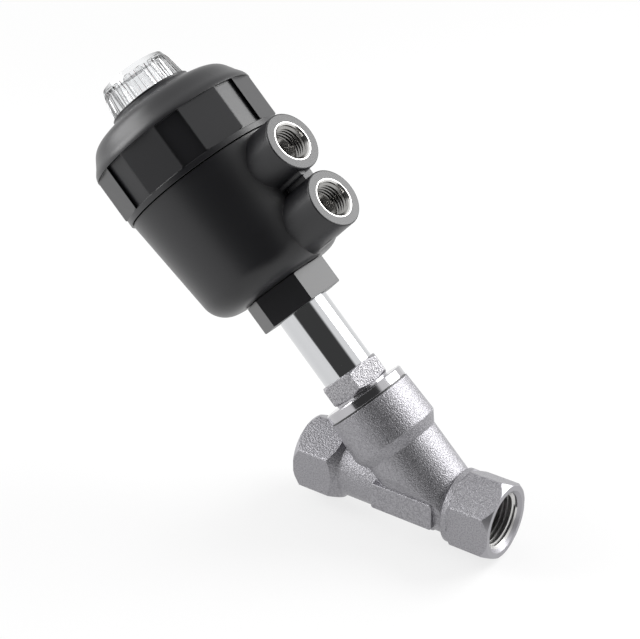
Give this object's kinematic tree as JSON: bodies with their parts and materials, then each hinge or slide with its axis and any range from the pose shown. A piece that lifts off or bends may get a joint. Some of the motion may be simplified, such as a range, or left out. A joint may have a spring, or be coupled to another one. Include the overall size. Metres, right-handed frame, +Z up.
{
  "type": "angle seat valve",
  "caption": "Pneumatic angle seat valve: cast steel Y body with threaded pipe ends, polished neck tube and a black swivelling piston actuator under a clear position indicator dome.",
  "frame": {"origin": "centre of the inlet port at its face, on the pipe axis", "axes": "+X along the pipe axis towards the outlet; +Z up; the stem axis lies in the XZ plane and leans 45 degrees back over the inlet"},
  "size_m": [0.17, 0.067, 0.1582],
  "materials": {
    "cast_steel": "cast stainless steel, bead blasted",
    "machined_steel": "turned stainless steel",
    "polished_steel": "polished stainless tube",
    "black_nylon": "glass-filled nylon, satin black",
    "clear_plastic": "clear polycarbonate, glossy",
    "plated_brass": "nickel-plated brass",
    "spring_steel": "spring wire, phosphated",
    "zinc_steel": "zinc-plated steel",
    "ptfe": "white PTFE",
    "nitrile": "black nitrile rubber",
    "graphite_gasket": "graphite gasket",
    "signal_plastic": "moulded acetal, signal red",
    "acetal": "natural acetal"
  },
  "bodies": {
    "valve_body": {"valve_body": "cast_steel", "bonnet_nut": "machined_steel", "bonnet_gasket": "graphite_gasket", "neck_tube": "polished_steel", "stem_guide_bush": "ptfe", "packing_washer": "machined_steel", "packing_spring": "spring_steel", "packing_lower_adapter": "machined_steel", "packing_ring_1": "ptfe", "packing_ring_2": "ptfe", "packing_ring_3": "ptfe", "packing_upper_adapter": "machined_steel", "packing_gland": "machined_steel", "packing_circlip": "spring_steel", "swivel_bush": "black_nylon", "swivel_o_ring": "nitrile", "swivel_circlip": "spring_steel", "swivel_washer": "acetal", "stem_seal": "nitrile", "upper_stem_bush": "acetal"},
    "actuator": {"actuator_housing": "black_nylon", "port_insert_lower": "plated_brass", "port_insert_upper": "plated_brass", "actuator_cover": "black_nylon", "cover_o_ring": "nitrile", "indicator_dome": "clear_plastic", "indicator_o_ring": "nitrile", "spring_seat": "zinc_steel", "outer_spring": "spring_steel", "inner_spring": "spring_steel"},
    "stem": {"stem": "machined_steel", "plug_snap_ring": "spring_steel", "piston": "black_nylon", "piston_seal": "nitrile", "piston_guide_band": "acetal", "piston_washer": "zinc_steel", "piston_nut": "zinc_steel", "indicator_rod": "acetal", "indicator_cap": "signal_plastic"},
    "plug": {"plug_body": "machined_steel", "seal_disc": "ptfe", "clamp_washer": "machined_steel", "clamp_screw": "machined_steel"}
  },
  "joints": [
    {"name": "stem_lift", "type": "slide", "parent": "valve_body", "child": "stem", "axis": [-0.7071, 0, 0.7071], "range_m": [0, 0.009], "stiffness_N_per_m": 6000, "springref_m": -0.012, "deforming": ["outer_spring", "inner_spring"]},
    {"name": "plug_turn", "type": "hinge", "parent": "stem", "child": "plug", "pos_m": [0.04469, 0, 0.01061], "axis": [-0.7071, 0, 0.7071], "continuous": true},
    {"name": "actuator_turn", "type": "hinge", "parent": "valve_body", "child": "actuator", "pos_m": [-0.01541, 0, 0.07071], "axis": [-0.7071, 0, 0.7071], "continuous": true}
  ]
}
